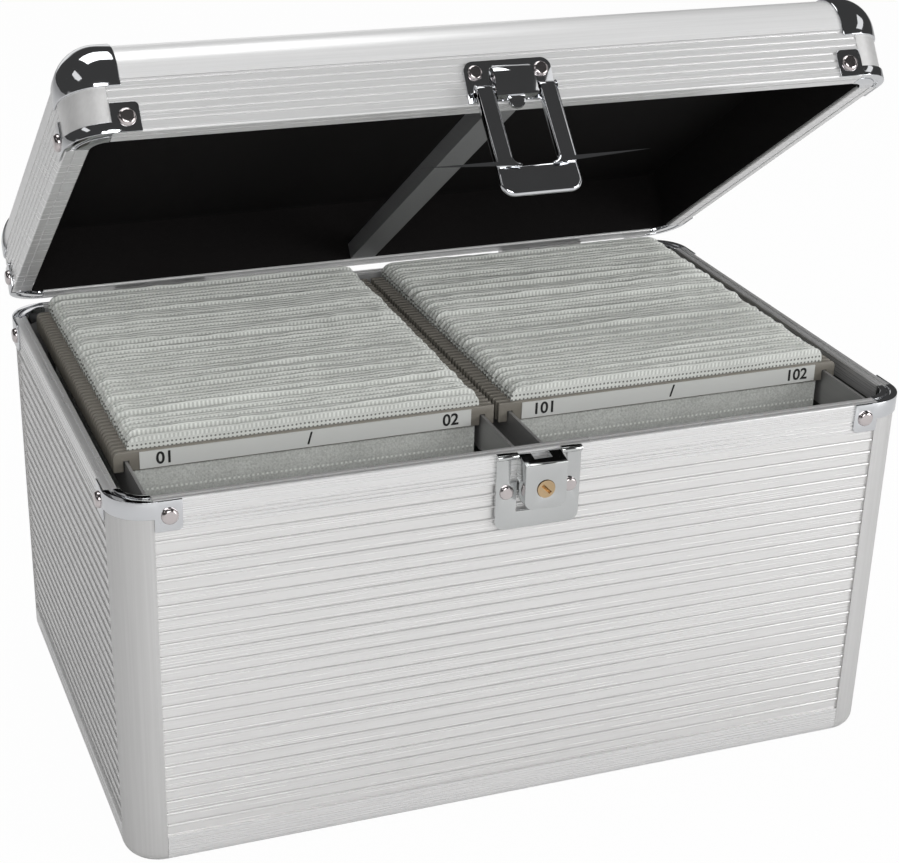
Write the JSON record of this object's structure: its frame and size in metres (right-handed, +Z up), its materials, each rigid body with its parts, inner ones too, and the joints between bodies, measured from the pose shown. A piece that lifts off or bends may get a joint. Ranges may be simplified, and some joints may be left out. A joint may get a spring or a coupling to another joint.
{
  "type": "disc storage case with hinged lid",
  "caption": "Aluminium-framed storage case with ribbed walls, chromed corners, a latching hinged lid, and two rows of hanging disc sleeves on rails.",
  "frame": {"origin": "middle of the underside of the floor board, which is flush with the bottom trims", "axes": "+X to the right as seen from the front, +Y to the hinged back, +Z up; stored with the lid open"},
  "size_m": [0.3348, 0.2396, 0.3078],
  "materials": {
    "ribbed_board": "silver facing with raised ribs on a light board",
    "satin_aluminium": "satin anodised",
    "lined_aluminium": "satin anodised with fine lines along it",
    "post_aluminium": "satin anodised",
    "rail_aluminium": "mill finish",
    "chrome": "polished chrome plate",
    "rivet_steel": "bright plated",
    "brass": "turned brass",
    "grey_lining": "dark grey lining",
    "black_lining": "black lining",
    "bar_plastic": "moulded",
    "pocket_fabric": "embossed non-woven with a clear face",
    "label_card": "white card strip",
    "black_plastic": "moulded grip"
  },
  "bodies": {
    "base": {"base_back_board": "ribbed_board", "base_bottom_corners": "post_aluminium", "base_floor": "ribbed_board", "base_front_board": "ribbed_board", "base_hinge_leaves": "rivet_steel", "base_left_board": "ribbed_board", "base_lining": "grey_lining", "base_post_back_left": "post_aluminium", "base_post_back_right": "post_aluminium", "base_post_front_left": "post_aluminium", "base_post_front_right": "post_aluminium", "base_right_board": "ribbed_board", "base_rim_back": "satin_aluminium", "base_rim_corners": "chrome", "base_rim_front": "satin_aluminium", "base_rim_left": "satin_aluminium", "base_rim_right": "satin_aluminium", "base_rivets": "rivet_steel", "base_trim_back": "satin_aluminium", "base_trim_front": "satin_aluminium", "base_trim_left": "satin_aluminium", "base_trim_right": "satin_aluminium", "hanger_rail_centre": "rail_aluminium", "hanger_rail_left": "rail_aluminium", "hanger_rail_right": "rail_aluminium", "hinge_pins": "rivet_steel", "lock_body": "chrome", "lock_plate": "chrome", "sleeve_left_bars": "bar_plastic", "sleeve_left_pockets": "pocket_fabric", "sleeve_right_bars": "bar_plastic", "sleeve_right_pockets": "pocket_fabric"},
    "lid": {"handle_brackets": "chrome", "latch_plate": "chrome", "lid_ball_corners": "chrome", "lid_edge_trims": "satin_aluminium", "lid_hinge_leaves": "rivet_steel", "lid_hold_down_bar": "rail_aluminium", "lid_lining": "black_lining", "lid_posts": "post_aluminium", "lid_rim_corners": "chrome", "lid_rivets": "rivet_steel", "lid_top_board": "ribbed_board", "lid_wall_back": "lined_aluminium", "lid_wall_front": "lined_aluminium", "lid_wall_left": "lined_aluminium", "lid_wall_right": "lined_aluminium"},
    "latch": {"latch_loop": "chrome", "latch_axle": "rivet_steel"},
    "handle": {"handle_bow": "chrome", "handle_grip": "black_plastic"},
    "key": {"lock_key_cylinder": "brass"},
    "catch": {"lock_catch": "rivet_steel"},
    "front_sleeve_left": {"sleeve_left_front_bar": "bar_plastic", "sleeve_left_front_label": "label_card", "sleeve_left_front_pocket": "pocket_fabric"},
    "front_sleeve_right": {"sleeve_right_front_bar": "bar_plastic", "sleeve_right_front_label": "label_card", "sleeve_right_front_pocket": "pocket_fabric"}
  },
  "joints": [
    {"name": "lid_hinge", "type": "hinge", "parent": "base", "child": "lid", "pos_m": [0, 0.1099, 0.1592], "axis": [-1, 0, 0], "range_deg": [-34.7, 60.3]},
    {"name": "latch_swing", "type": "hinge", "parent": "lid", "child": "latch", "pos_m": [0, -0.07043, 0.28857], "axis": [-1, 0, 0], "range_deg": [-10.5, 99.5]},
    {"name": "handle_lift", "type": "hinge", "parent": "lid", "child": "handle", "pos_m": [0, 0.04343, 0.25625], "axis": [-1, 0, 0], "range_deg": [0, 90]},
    {"name": "key_turn", "type": "hinge", "parent": "base", "child": "key", "pos_m": [0, -0.116, 0.1461], "axis": [0, -1, 0], "range_deg": [0, 90]},
    {"name": "catch_slide", "type": "slide", "parent": "base", "child": "catch", "axis": [0, 0, -1], "range_m": [0, 0.0095]},
    {"name": "front_sleeve_left_slide", "type": "slide", "parent": "base", "child": "front_sleeve_left", "axis": [0, -1, 0], "range_m": [0, 0.028]},
    {"name": "front_sleeve_right_lift", "type": "slide", "parent": "base", "child": "front_sleeve_right", "axis": [0, 0, 1], "range_m": [0, 0.105]}
  ],
  "couplings": [
    {"joint": "key_turn", "follows": "catch_slide", "rad_per_m": 165.35}
  ]
}
